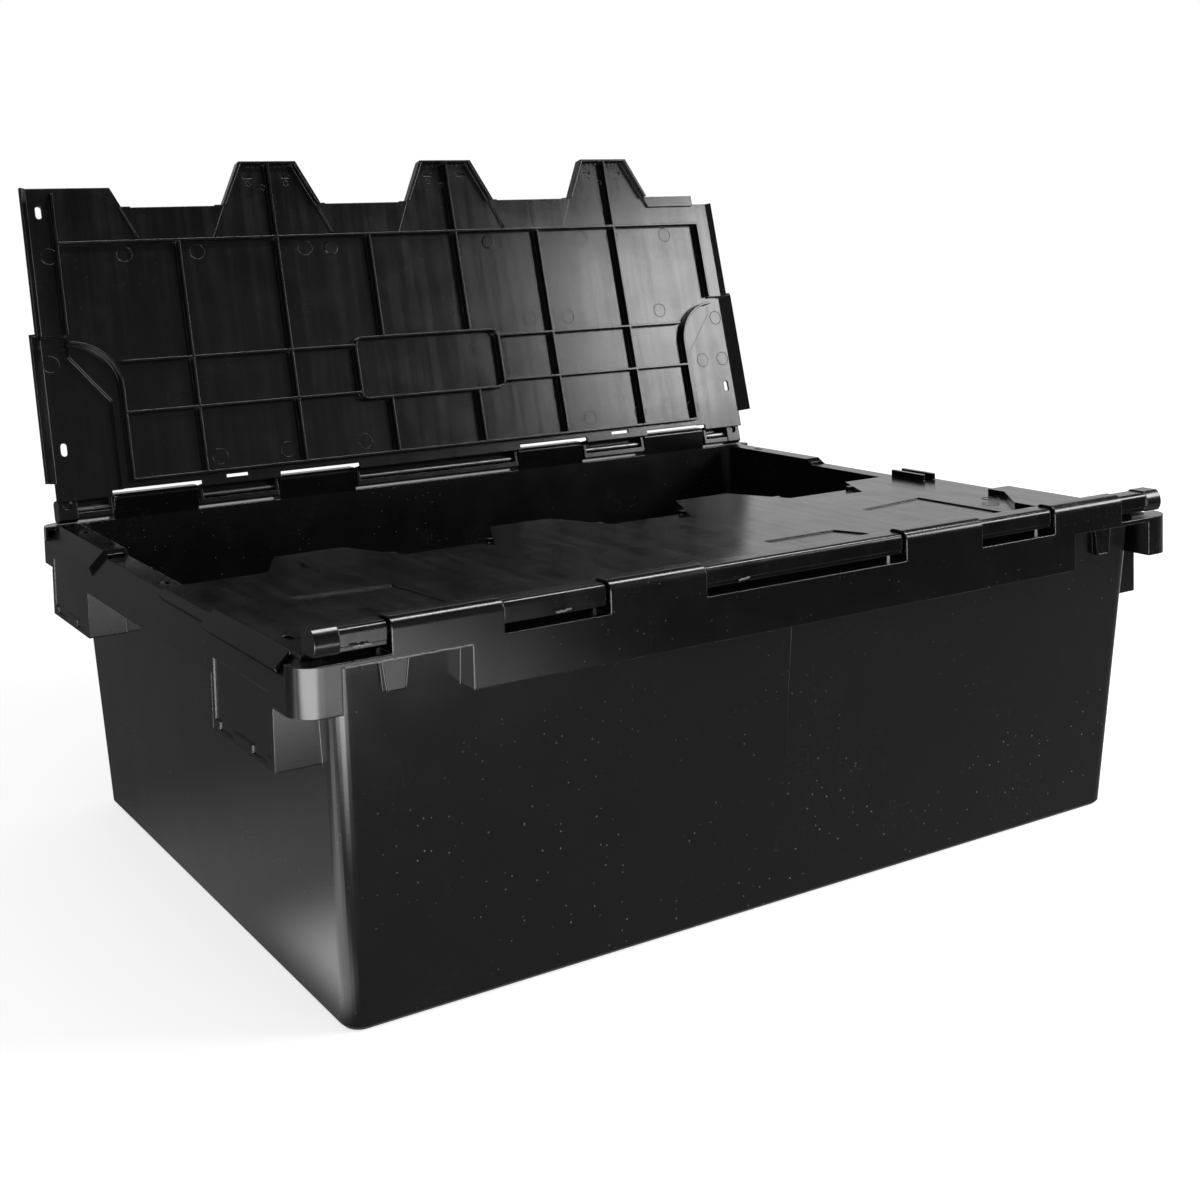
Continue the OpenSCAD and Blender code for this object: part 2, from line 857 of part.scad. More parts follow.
module knuckle_outside(leg_lo) {
    translate([-knuckle_out, -knuckle_low])
        square([knuckle_out + knuckle_in, knuckle_up - knuckle_r + knuckle_low]);
    translate([-knuckle_out + knuckle_r, -knuckle_low])
        square([knuckle_out + knuckle_in - 2 * knuckle_r, knuckle_up + knuckle_low]);
    translate([leg_v, leg_lo])
        square([knuckle_t, knuckle_up - knuckle_r - leg_lo]);
    for (v = [-knuckle_out + knuckle_r, knuckle_in - knuckle_r])
        translate([v, knuckle_up - knuckle_r])
            circle(r = knuckle_r, $fn = 48);
}

module knuckle_hollow() {
    translate([-knuckle_out + knuckle_t, plate_lo - 1])
        square([knuckle_out + leg_v - knuckle_t, knuckle_up - knuckle_t - plate_lo + 1]);
}

// End web of a knuckle, round the rod
module knuckle_web_profile() {
    translate([-knuckle_out + knuckle_t / 2, lip_lo])
        square([knuckle_out + leg_v - knuckle_t / 2 + 0.5, knuckle_up - lip_lo - 1]);
}

module knuckle(x0, x1, leg_lo, leg_hi) {
    along_x(x0, x1)
        knuckle_profile(leg_lo);
    for (x = [x0, x1 - web_t])
        along_x(x, x + web_t)
            knuckle_web_profile();
    slab(leg_lo, leg_hi)
        rect2(x0, x1, knuckle_in - eps, hinge_edge + 1);
}

// Closed block at the end of the hinge, with a round pocket underneath
// Its section stays inside a circle, so that it turns clear of the rim
module end_block(x0, x1) {
    low = lip_lo - 1;
    top = knuckle_up + 1;
    swing_r = rod_up - swing_gap;
    difference() {
        along_x(x0, x1)
            intersection() {
                translate([-rod_in, low])
                    square([rod_in + knuckle_in, top - low]);
                circle(r = swing_r, $fn = 96);
            }
        translate([(x0 + x1) / 2, pocket_v, low - 1])
            cylinder(h = pocket_h + 1, d = pocket_d, $fn = 48);
    }
}

module knuckles() {
    out_0 = blade_out_x + blade_half + knuckle_gap;
    in_1 = blade_out_x - blade_half - knuckle_gap;
    in_0 = blade_in_x + blade_half + knuckle_gap;
    mid = blade_in_x - blade_half - knuckle_gap;
    knuckle(-mid, mid, plate_lo, plate_hi);
    at_ends() {
        knuckle(in_0, in_1, plate_lo, plate_hi);
        knuckle(out_0, knuckle_half - end_block_l + web_t, platform_lo, platform_hi);
        end_block(knuckle_half - end_block_l, knuckle_half);
    }
}

// Two round-ended bars that stand beside the seal slot of the corner tooth
module lid_bars() {
    v0 = corner_tip_v - bar_l - 1;
    for (s = [-1, 1])
        translate([seal_x + s * bar_off, 0, 0])
            slab(plate_hi - eps, plate_hi + bar_h) {
                rect2(-bar_w / 2, bar_w / 2, v0 + bar_w / 2, v0 + bar_l - bar_w / 2);
                for (v = [bar_w / 2, bar_l - bar_w / 2])
                    translate([0, v0 + v])
                        circle(d = bar_w, $fn = 32);
            }
}

// Panel sunk in the top of the lid
module top_panel(xs, vs) {
    slab(plate_hi - top_panel_t, plate_hi + 1)
        polygon([[xs[0], panel_near_v], [xs[0], vs[0]], [xs[1], vs[1]],
                 [xs[2], panel_turn_v], [xs[2], panel_near_v]]);
}

module top_panels() {
    top_panel(panel_left_x, panel_left_v);
    top_panel(panel_mid_x, panel_mid_v);
    top_panel(panel_right_x, panel_right_v);
}

module lid_slots() {
    for (sx = [-1, 1])
        seal_slot(sx * seal_x, seal_v, platform_lo - 1, platform_hi + 1);
    seal_slot(seal_x, seal_tooth_v, plate_lo - 1, plate_hi + 1);
    for (sx = [-1, 1])
        translate([sx * drain_x - drain_l / 2, drain_v - drain_w / 2, plate_lo - 1])
            cube([drain_l, drain_w, plate_t + 2]);
    for (x = tooth_xs, s = [-1, 1])
        translate([x + s * tip_slot_x - tip_slot_l / 2, tip_v - tip_slot_in - tip_slot_w / 2, plate_lo - 1])
            cube([tip_slot_l, tip_slot_w, tip_slot_d + 1]);
}

// One lid half, closed, with the rod along X through the origin
module lid() {
    difference() {
        union() {
            slab(plate_lo, plate_hi)
                difference() {
                    plate_outline();
                    for (x = valley_xs)
                        valley_outline(x, 0);
                    for (m = [0, 1])
                        mirror([m, 0])
                            platform_outline(0);
                }
            corner_platforms();
            side_flaps();
            ledges();
            lid_ribs();
            knuckles();
            lid_bars();
        }
        lid_slots();
        top_panels();
        translate([-rod_half - 1, 0, 0])
            rotate([0, 90, 0])
                cylinder(h = 2 * rod_half + 2, r = rod_r + rod_gap, $fn = 48);
    }
}

module front_lid() {
    color(plastic)
        translate([0, -axis_y, axis_z])
            lid();
}

module rear_lid() {
    color(plastic)
        translate([0, axis_y, axis_z])
            rotate([0, 0, 180])
                rotate([rear_open, 0, 0])
                    lid();
}

module hinge_rod(side) {
    color(steel)
        translate([-rod_half, side * axis_y, axis_z])
            rotate([0, 90, 0])
                cylinder(h = 2 * rod_half, r = rod_r, $fn = 48);
}

module front_hinge_rod() {
    hinge_rod(-1);
}

module rear_hinge_rod() {
    hinge_rod(1);
}

tub();
front_lid();
rear_lid();
front_hinge_rod();
rear_hinge_rod();
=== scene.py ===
# %% [markdown]
# # An attached lid container
# The box is a black polypropylene tub with two lid halves on steel rods. One half
# is shut, the other stands open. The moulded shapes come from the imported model.
# This lesson gives them their plastic, adds the small marks that moulding leaves,
# and sets up the studio in which a black, half glossy thing can be seen.

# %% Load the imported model
import bmesh
import bpy
import json
from math import cos, pi, radians, sin
from mathutils import Matrix, Vector


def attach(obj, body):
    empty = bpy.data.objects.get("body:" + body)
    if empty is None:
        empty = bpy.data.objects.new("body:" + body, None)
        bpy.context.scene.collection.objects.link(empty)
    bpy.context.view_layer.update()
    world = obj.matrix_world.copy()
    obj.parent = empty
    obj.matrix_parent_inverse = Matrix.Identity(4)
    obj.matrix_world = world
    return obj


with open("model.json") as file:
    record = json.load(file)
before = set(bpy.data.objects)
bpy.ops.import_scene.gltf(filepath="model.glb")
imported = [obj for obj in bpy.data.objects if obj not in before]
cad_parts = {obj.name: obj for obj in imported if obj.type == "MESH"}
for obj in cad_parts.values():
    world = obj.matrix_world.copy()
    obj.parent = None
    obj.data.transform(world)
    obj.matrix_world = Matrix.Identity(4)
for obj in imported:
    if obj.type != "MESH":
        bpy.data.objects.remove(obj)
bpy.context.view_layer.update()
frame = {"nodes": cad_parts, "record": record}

# %% [markdown]
# ## Where the lids are
# Both lids are the same moulding. It is easiest to write down its details once, on
# a closed lid with the hinge rod along X through the origin, and then to carry them
# to each lid with a matrix. The rod places come from the record's joints. The rear
# lid is the front one turned half round and swung open.

# %% Lid matrices
REAR_OPEN = radians(104.3)
joints = {joint["name"]: joint for joint in frame["record"]["behaviour"]["joints"]}
front_rod = Vector(joints["front_hinge"]["pos_m"])
rear_rod = Vector(joints["rear_hinge"]["pos_m"])
LIDS = {
    "front_lid": Matrix.Translation(front_rod),
    "rear_lid": Matrix.Translation(rear_rod) @ Matrix.Rotation(pi, 4, "Z")
    @ Matrix.Rotation(REAR_OPEN, 4, "X"),
}
MM = 0.001
print("rods at", tuple(front_rod), tuple(rear_rod))

# %% [markdown]
# ## Camera
# The photograph looks down a little on the left front corner from about a metre
# and a half. The lens and a small shift put the box where the photograph has it.
# A larger shift would match a little closer, but every other view keeps the shift,
# and would then cut the box off.

# %% Camera
CAMERA_PLACE = (-0.764, -1.2015, 0.521)
CAMERA_TURN = (85.793, 1.531, -31.737)
camera_data = bpy.data.cameras.new("camera")
camera_data.sensor_width = 36
camera_data.lens = 49.0184
camera_data.shift_x = 0.03374
camera_data.shift_y = -0.22
camera_data.clip_end = 50
camera = bpy.data.objects.new("camera", camera_data)
camera.location = CAMERA_PLACE
camera.rotation_euler = [radians(turn) for turn in CAMERA_TURN]
bpy.context.scene.collection.objects.link(camera)
bpy.context.scene.camera = camera
bpy.context.scene.view_settings.view_transform = "Standard"
print("camera at", tuple(camera.location))

# %% [markdown]
# ## Node helpers
# Every tree below is a list of nodes and links. A few short helpers keep them
# readable: one adds a node and sets its sockets, some do arithmetic on masks, and
# the last two make a group with named inputs and outputs and place it in a material.

# %% Node helpers
def add(tree, kind, links=None, **settings):
    """Adds a node. Keys of links are its sockets' names or numbers, values are
    sockets to link from or constants."""
    node = tree.nodes.new(kind)
    for key, value in settings.items():
        setattr(node, key, value)
    for key, value in (links or {}).items():
        socket = node.inputs[key]
        if isinstance(value, bpy.types.NodeSocket):
            tree.links.new(value, socket)
        else:
            socket.default_value = value
    return node


def calc(tree, operation, *values, clamp=False):
    """One step of arithmetic."""
    return add(tree, "ShaderNodeMath", dict(enumerate(values)),
               operation=operation, use_clamp=clamp).outputs[0]


def product(tree, *factors, clamp=False):
    """Multiplies two or more masks or numbers."""
    result = factors[0]
    for factor in factors[1:]:
        result = calc(tree, "MULTIPLY", result, factor, clamp=clamp)
    return result


def ramp(tree, value, low, high, to_low=0.0, to_high=1.0):
    """Carries value from one span to another, smoothly and clamped."""
    spans = {"Value": value, "From Min": low, "From Max": high,
             "To Min": to_low, "To Max": to_high}
    return add(tree, "ShaderNodeMapRange", spans, interpolation_type="SMOOTHSTEP").outputs[0]


def surface_noise(tree, scale, detail=3.0, rough=0.5, stretch=None):
    """Noise in the piece's own coordinates, so that it stays put when a lid swings."""
    where = add(tree, "ShaderNodeTexCoord").outputs["Object"]
    if stretch:
        where = add(tree, "ShaderNodeMapping", {"Vector": where, "Scale": stretch}).outputs[0]
    return add(tree, "ShaderNodeTexNoise",
               {"Vector": where, "Scale": scale, "Detail": detail, "Roughness": rough}
               ).outputs["Fac"]


print("node helpers ready")

# %% Group helpers
def group(name, inputs, outputs):
    """A shader group with named sockets: the tree, its input sockets, its output node."""
    tree = bpy.data.node_groups.new(name, "ShaderNodeTree")
    for label, value in inputs.items():
        socket = tree.interface.new_socket(label, in_out="INPUT", socket_type="NodeSocketFloat")
        socket.default_value = value
    for label, kind in outputs.items():
        tree.interface.new_socket(label, in_out="OUTPUT", socket_type=kind)
    return tree, tree.nodes.new("NodeGroupInput").outputs, tree.nodes.new("NodeGroupOutput")


def use(tree, effect, **values):
    """Places a group in a material with its own values."""
    node = tree.nodes.new("ShaderNodeGroup")
    node.node_tree = effect
    for label, value in values.items():
        node.inputs[label].default_value = value
    return node.outputs


print("group helpers ready")

# %% [markdown]
# ## Rounded and rubbed edges
# A moulded edge is never sharp. Its small radius draws the bright hairlines that
# outline every knuckle and rib. The Bevel node rounds the normal at an edge without
# more mesh. Where the rounded normal leaves the flat one, there is an edge, and that
# is also where the skin of the plastic is rubbed, so one group gives both.

# %% Edge group
LEAN_STARTS, LEAN_FULL = 0.01, 0.22
edge_rub, e_in, e_out = group(
    "edge rub", {"Radius": 0.0012, "Rub": 0.5},
    {"Normal": "NodeSocketVector", "Mask": "NodeSocketFloat"})
bevel = add(edge_rub, "ShaderNodeBevel", {"Radius": e_in["Radius"]}, samples=8)
flat = add(edge_rub, "ShaderNodeNewGeometry").outputs["Normal"]
agree = add(edge_rub, "ShaderNodeVectorMath", {0: bevel.outputs[0], 1: flat},
            operation="DOT_PRODUCT").outputs["Value"]
edge = ramp(edge_rub, calc(edge_rub, "SUBTRACT", 1.0, agree), LEAN_STARTS, LEAN_FULL)
patchy = ramp(edge_rub, surface_noise(edge_rub, 45, 5, 0.65), 0.42, 0.66)
rubbed = product(edge_rub, edge, patchy, e_in["Rub"], clamp=True)
edge_rub.links.new(bevel.outputs[0], e_out.inputs["Normal"])
edge_rub.links.new(rubbed, e_out.inputs["Mask"])
print("group:", edge_rub.name)

# %% [markdown]
# ## Moulded skin
# A big flat wall shrinks unevenly as it cools, so its reflections wander. On top of
# that the steel of the mould leaves a fine grain. Both are heights for one Bump
# node, at their real sizes: waves of a hand's width and grain of half a millimetre.

# %% Skin group
WAVE_HEIGHT, GRAIN_HEIGHT = 0.0012, 0.00003
skin, s_in, s_out = group(
    "moulded skin", {"Wave": 1.0, "Grain": 1.0},
    {"Height": "NodeSocketFloat", "Mottle": "NodeSocketFloat"})
wave = product(skin, surface_noise(skin, 7, 2, 0.4), WAVE_HEIGHT, s_in["Wave"])
grain = product(skin, surface_noise(skin, 1400, 2, 0.6), GRAIN_HEIGHT, s_in["Grain"])
skin.links.new(calc(skin, "ADD", wave, grain), s_out.inputs["Height"])
skin.links.new(surface_noise(skin, 28, 6, 0.6), s_out.inputs["Mottle"])
print("group:", skin.name)

# %% [markdown]
# ## Dust and scratches
# The box has been carried about. Pale specks of dust stick to the walls, more of
# them low down, and thin scratches run across. Specks are the small cells of a
# Voronoi texture that a noise lets through. Scratches are a noise stretched until
# its ridges become lines. Wiping left faint streaks down the lids, and the two outer
# knuckles of the shut lid are scuffed pale by hands and by other boxes.

# %% Dust
CELLS_PER_METRE = 210.0
wear, w_in, w_out = group(
    "dust and scratches", {"Specks": 1.0, "Scratches": 1.0, "Scuffs": 0.0},
    {"Dust": "NodeSocketFloat", "Scratch": "NodeSocketFloat",
     "Streak": "NodeSocketFloat", "Scuff": "NodeSocketFloat"})
here = add(wear, "ShaderNodeTexCoord").outputs["Object"]
axes = add(wear, "ShaderNodeSeparateXYZ", {0: here}).outputs
cells = add(wear, "ShaderNodeTexVoronoi",
            {"Vector": here, "Scale": CELLS_PER_METRE, "Randomness": 1.0}).outputs
speck = ramp(wear, cells["Distance"], 0.16, 0.07)
draw = add(wear, "ShaderNodeSeparateColor", {0: cells["Color"]}).outputs[0]
chosen = ramp(wear, draw, 0.62, 0.74)
low = ramp(wear, axes["Z"], 0.20, 0.02, 0.25, 1.0)
clusters = ramp(wear, surface_noise(wear, 12, 3, 0.6), 0.40, 0.62)
dust = product(wear, speck, chosen, clusters, low, w_in["Specks"], clamp=True)
wear.links.new(dust, w_out.inputs["Dust"])
print("dust in cells of", round(1 / CELLS_PER_METRE / MM, 1), "mm")

# %% Scratches
LINE_FULL = 0.0006


def ridge(tree, noise, fades):
    """A thin line where a noise passes its middle value."""
    off_middle = calc(tree, "ABSOLUTE", calc(tree, "SUBTRACT", noise, 0.5))
    return ramp(tree, off_middle, fades, LINE_FULL)


level_lines = ridge(wear, surface_noise(wear, 26, 2, 0.5, (1, 1, 22)), 0.0025)
upright_lines = ridge(wear, surface_noise(wear, 22, 2, 0.5, (20, 20, 1)), 0.0022)
here_and_there = ramp(wear, surface_noise(wear, 9, 4, 0.7), 0.52, 0.66)
scratch = product(wear, calc(wear, "MAXIMUM", level_lines, upright_lines), here_and_there,
                  w_in["Scratches"], clamp=True)
wear.links.new(scratch, w_out.inputs["Scratch"])
print("scratches level and upright")

# %% Streaks and scuffs
KNUCKLE_FROM, KNUCKLE_TO = 0.333, 0.371
FACE_Y, FACE_Z = -0.2985, 0.258
streak = ramp(wear, surface_noise(wear, 4, 3, 0.6, (26, 1, 1)), 0.35, 0.65)
aside = calc(wear, "ABSOLUTE", axes["X"])
outer = product(wear, ramp(wear, aside, KNUCKLE_FROM, KNUCKLE_FROM + 0.007),
                ramp(wear, aside, KNUCKLE_TO, KNUCKLE_TO - 0.002))
facing = product(wear, ramp(wear, axes["Y"], FACE_Y, FACE_Y - 0.001),
                 ramp(wear, axes["Z"], FACE_Z, FACE_Z + 0.004))
smear = ramp(wear, surface_noise(wear, 70, 5, 0.75), 0.30, 0.52, 0.3, 1.0)
scuff = product(wear, outer, facing, smear, w_in["Scuffs"], clamp=True)
wear.links.new(streak, w_out.inputs["Streak"])
wear.links.new(scuff, w_out.inputs["Scuff"])
print("group:", wear.name)

# %% [markdown]
# ## The plastic
# The same black polypropylene makes the tub and the lids. Its colour is nearly
# nothing: what one sees is gloss. So the roughness carries the look, a little
# uneven over the skin, duller on dust and rubbed edges. The lids are glossier.

# %% Plastic material
RUBBED, SCUFFED, DUSTY = (0.16, 0.16, 0.165), (0.42, 0.42, 0.40), (0.45, 0.45, 0.43)


def tinted(tree, mask, under, over):
    """Lays one colour over another by a mask."""
    under = under if isinstance(under, bpy.types.NodeSocket) else (*under, 1)
    return add(tree, "ShaderNodeMix", {"Factor": mask, 6: under, 7: (*over, 1)},
               data_type="RGBA").outputs[2]


def plastic(name, black, rough, wave=0.0, specks=0.0, scratches=0.0, rub=0.0,
            radius=0.0012, streaks=0.0, scuffs=0.0):
    """Black moulded plastic with its own gloss, edge radius and wear."""
    material = bpy.data.materials.new(name)
    material.use_nodes = True
    tree = material.node_tree
    shader = tree.nodes["Principled BSDF"]
    rounded = use(tree, edge_rub, Radius=radius, Rub=rub)
    face = use(tree, skin, Wave=wave, Grain=1.0)
    marks = use(tree, wear, Specks=specks, Scratches=scratches, Scuffs=scuffs)
    worn = calc(tree, "MAXIMUM", product(tree, rounded["Mask"], 0.5),
                product(tree, marks["Scratch"], 0.35), clamp=True)
    tint = tinted(tree, face["Mottle"], black, [part * 1.7 for part in black])
    for mask, colour in ((worn, RUBBED), (marks["Scuff"], SCUFFED), (marks["Dust"], DUSTY)):
        tint = tinted(tree, mask, tint, colour)
    tree.links.new(tint, shader.inputs["Base Color"])
    gloss = ramp(tree, face["Mottle"], 0.3, 0.75, rough - 0.02, rough + 0.03)
    dull = product(tree, calc(tree, "MAXIMUM", worn, marks["Dust"]), 0.3)
    gloss = calc(tree, "ADD", gloss, dull)
    gloss = calc(tree, "ADD", gloss, product(tree, marks["Streak"], streaks), clamp=True)
    tree.links.new(gloss, shader.inputs["Roughness"])
    bump = add(tree, "ShaderNodeBump",
               {"Height": face["Height"], "Normal": rounded["Normal"], "Distance": 1.0})
    tree.links.new(bump.outputs[0], shader.inputs["Normal"])
    print("material:", name)
    return material


# %% Four plastics
BLACK, MARK_BLACK, PALE = (0.0032, 0.0032, 0.0035), (0.0035, 0.0035, 0.0038), (0.20, 0.20, 0.195)
tub_plastic = plastic("tub_plastic", BLACK, 0.21, wave=1.0, specks=1.0, scratches=1.0,
                      rub=0.9, radius=0.0014)
lid_plastic = plastic("lid_plastic", BLACK, 0.17, wave=0.6, specks=0.35, scratches=0.6,
                      rub=0.6, radius=0.0009, streaks=0.05, scuffs=1.0)
mark_plastic = plastic("mark_plastic", MARK_BLACK, 0.26, scratches=0.3, radius=0.0002)
# Pale: the torn flash on the flanges, and the painted glints on the shut lid's knuckles.
pale_flash_and_glint = plastic("pale_flash_and_glint", PALE, 0.40, radius=0.0002)

# %% [markdown]
# ## The steel rods
# Drawn wire has fine lines along its length and a dull, slightly uneven shine.
# Little of it shows, in the gaps beside the knuckles.

# %% Steel
CLEAN_STEEL, STAINED_STEEL = (0.42, 0.42, 0.43), (0.24, 0.22, 0.21)
rod_steel = bpy.data.materials.new("rod_steel")
rod_steel.use_nodes = True
steel = rod_steel.node_tree
steel_shader = steel.nodes["Principled BSDF"]
steel_shader.inputs["Metallic"].default_value = 1.0
drawn = surface_noise(steel, 900, 2, 0.5, (0.01, 1, 1))
stain = surface_noise(steel, 60, 4, 0.6)
steel_tint = tinted(steel, ramp(steel, stain, 0.4, 0.7), CLEAN_STEEL, STAINED_STEEL)
steel.links.new(steel_tint, steel_shader.inputs["Base Color"])
steel.links.new(ramp(steel, stain, 0.3, 0.7, 0.3, 0.5), steel_shader.inputs["Roughness"])
steel_bump = add(steel, "ShaderNodeBump",
                 {"Height": product(steel, drawn, 0.00004), "Distance": 1.0})
steel.links.new(steel_bump.outputs[0], steel_shader.inputs["Normal"])
print("material:", rod_steel.name)

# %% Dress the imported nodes
FINISH = {"tub_plastic": tub_plastic, "lid_plastic": lid_plastic, "rod_steel": rod_steel}
for part in frame["record"]["subparts"]:
    node = frame["nodes"][part["node"]]
    if not node.material_slots:
        node.data.materials.append(None)
    for holder in node.material_slots:
        holder.material = FINISH[part["material_slot"]]
    print(part["node"], "wears", part["material_slot"])

# %% [markdown]
# ## Small moulded marks
# A mould leaves small things that repeat: rings where its pins pushed the part out,
# dots along an edge, beads round a tab. Modelling each by hand would be slow and
# uneven. A Geometry Nodes tree makes one and sets it on many points or along a path,
# and its named inputs hold the sizes. The result is then kept as a plain mesh that
# rides on its body.

# %% Tree helpers
def shape_tree(name, inputs):
    """A Geometry Nodes tree with named inputs. Points or a path come in, a mesh goes out."""
    tree = bpy.data.node_groups.new(name, "GeometryNodeTree")
    new_socket = tree.interface.new_socket
    new_socket("Geometry", in_out="INPUT", socket_type="NodeSocketGeometry")
    for label, value in inputs.items():
        kind = "NodeSocketInt" if isinstance(value, int) else "NodeSocketFloat"
        new_socket(label, in_out="INPUT", socket_type=kind).default_value = value
    new_socket("Material", in_out="INPUT", socket_type="NodeSocketMaterial")
    new_socket("Geometry", in_out="OUTPUT", socket_type="NodeSocketGeometry")
    return tree, tree.nodes.new("NodeGroupInput").outputs


def close_tree(tree, given, geometry):
    """Ends a tree: instances become real and get their material."""
    real = add(tree, "GeometryNodeRealizeInstances", {0: geometry}).outputs[0]
    dressed = add(tree, "GeometryNodeSetMaterial",
                  {"Geometry": real, "Material": given["Material"]}).outputs[0]
    tree.links.new(dressed, tree.nodes.new("NodeGroupOutput").inputs[0])
    print("tree:", tree.name)


def round_path(tree, radius, steps):
    """A circle, as a path or as the section of a wire."""
    return add(tree, "GeometryNodeCurvePrimitiveCircle",
               {"Resolution": steps, "Radius": radius}).outputs[0]


# %% Growing a piece
def grown_mesh(name, tree, points, edges, values):
    """Runs a tree on points or a path in millimetres and gives back a plain mesh."""
    start = bpy.data.meshes.new(name + "_start")
    start.from_pydata([Vector(point) * MM for point in points], edges, [])
    seed = bpy.data.objects.new(name + "_start", start)
    bpy.context.scene.collection.objects.link(seed)
    modifier = seed.modifiers.new("shape", "NODES")
    modifier.node_group = tree
    for item in tree.interface.items_tree:
        if item.in_out == "INPUT" and item.name in values:
            modifier[item.identifier] = values[item.name]
    whole = bpy.context.evaluated_depsgraph_get()
    mesh = bpy.data.meshes.new_from_object(seed.evaluated_get(whole))
    seed.modifiers.clear()
    bpy.data.objects.remove(seed)
    return mesh


def grow(name, tree, points, edges, body, slot, material, place=None, **values):
    """Grows a mesh, carries it to its place and lets it ride on a body."""
    mesh = grown_mesh(name, tree, points, edges, {**values, "Material": material})
    if place:
        mesh.transform(place)
    shell = bmesh.new()
    shell.from_mesh(mesh)
    bmesh.ops.recalc_face_normals(shell, faces=shell.faces)
    shell.to_mesh(mesh)
    shell.free()
    mesh.name = name
    piece = bpy.data.objects.new(name, mesh)
    bpy.context.scene.collection.objects.link(piece)
    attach(piece, body)
    print(name, "rides on", body, "with", len(mesh.polygons), "faces")


# %% [markdown]
# ## Pin marks
# Ejector pins push a lid out of its mould and leave shallow rings on its underside.
# They could be painted as bump, but the low light from the side shows real edges
# better, so each ring is a thin wire half sunk in the surface. The rows follow the
# hinge line, the grip line and the roots of the teeth.

# %% Ring tree
ring_tree, given = shape_tree("round marks", {"Radius": 0.0075, "Wire": 0.0004, "Steps": 32})
ring = add(ring_tree, "GeometryNodeCurveToMesh",
           {"Curve": round_path(ring_tree, given["Radius"], given["Steps"]),
            "Profile Curve": round_path(ring_tree, given["Wire"], 6)})
rings = add(ring_tree, "GeometryNodeInstanceOnPoints",
            {"Points": given["Geometry"], "Instance": ring.outputs[0]})
close_tree(ring_tree, given, rings.outputs[0])

# %% Pin marks
PLATE_UNDER, PLATFORM_UNDER = -17.0, -11.5
PIN_ROWS = {33: (234, 165, 83, -184, -250, -321), 146: (-128, -176, -298),
            233: (302, 231, 119, 372, -47, -209, -250, -322)}
PLATFORM_PINS = ((380, 133), (336, 133), (-350, 86), (-378, 86), (-378, 134))
pins = [(x, out, PLATE_UNDER) for out, row in PIN_ROWS.items() for x in row]
pins += [(x, out, PLATFORM_UNDER) for x, out in PLATFORM_PINS]
for lid, place in LIDS.items():
    grow(lid + "_pin_marks", ring_tree, pins, [], lid, "lid_plastic", mark_plastic, place,
         Radius=0.0075, Wire=0.0004)

# %% [markdown]
# ## Tooth tips
# Under the edge of each tooth stands a row of small round studs, and below the
# two blind slots there are tiny rings. Studs and rings are again one shape on many
# points, three teeth on each lid.

# %% Stud tree
stud_tree, given = shape_tree("studs", {"Radius": 0.0017, "Depth": 0.002})
stud = add(stud_tree, "GeometryNodeMeshCylinder",
           {"Vertices": 16, "Radius": given["Radius"], "Depth": given["Depth"]})
studs = add(stud_tree, "GeometryNodeInstanceOnPoints",
            {"Points": given["Geometry"], "Instance": stud.outputs[0]})
close_tree(stud_tree, given, studs.outputs[0])

# %% Studs and rings at the tips
TEETH = (-250, -50, 150)
STUD_LINE = 317.6
TIP_STUDS = (19, 13, 7, -6, -11, -16, -21)
TIP_RINGS = ((20, 300), (-20, 300), (5, 296))
stud_points = [(x + aside, STUD_LINE, PLATE_UNDER) for x in TEETH for aside in TIP_STUDS]
tip_rings = [(x + aside, out, PLATE_UNDER) for x in TEETH for aside, out in TIP_RINGS]
for lid, place in LIDS.items():
    grow(lid + "_tip_studs", stud_tree, stud_points, [], lid, "lid_plastic", mark_plastic, place)
    grow(lid + "_tip_rings", ring_tree, tip_rings, [], lid, "lid_plastic", mark_plastic, place,
         Radius=0.0026, Wire=0.0003)

# %% [markdown]
# ## Beads
# A thin bead runs round each tapered tab on the long walls and along the lower edges
# of the handle blocks and grip bars. It catches the light as a bright hairline. A
# bead is a small circle swept along a path, so the tree turns edges into a curve,
# rounds its corners and sweeps the circle.

# %% Bead tree
bead_tree, given = shape_tree("bead", {"Wire": 0.0006, "Corner": 0.0015})
bead_path = add(bead_tree, "GeometryNodeMeshToCurve", {"Mesh": given["Geometry"]}).outputs[0]
bead_path = add(bead_tree, "GeometryNodeFilletCurve",
                {"Curve": bead_path, "Count": 5, "Radius": given["Corner"],
                 "Limit Radius": True}, mode="POLY").outputs[0]
bead = add(bead_tree, "GeometryNodeCurveToMesh",
           {"Curve": bead_path, "Profile Curve": round_path(bead_tree, given["Wire"], 8),
            "Fill Caps": True})
close_tree(bead_tree, given, bead.outputs[0])


def paths(lines):
    """Points and edges of several open lines in one list."""
    points, edges = [], []
    for line in lines:
        edges += [(len(points) + i, len(points) + i + 1) for i in range(len(line) - 1)]
        points += line
    return points, edges


# %% Beads round the wall tabs
BOTH = (-1, 1)
TAB_X, TAB_Y = 328, 287
TAB_OUTLINE = ((-9.9, 250), (-6.6, 226.6), (6.6, 226.6), (9.9, 250))
tabs = [[(sx * TAB_X + aside, sy * TAB_Y, z) for aside, z in TAB_OUTLINE]
        for sx in BOTH for sy in BOTH]
grow("tub_tab_beads", bead_tree, *paths(tabs), "tub", "tub_plastic", mark_plastic,
     Wire=0.0007, Corner=0.002)

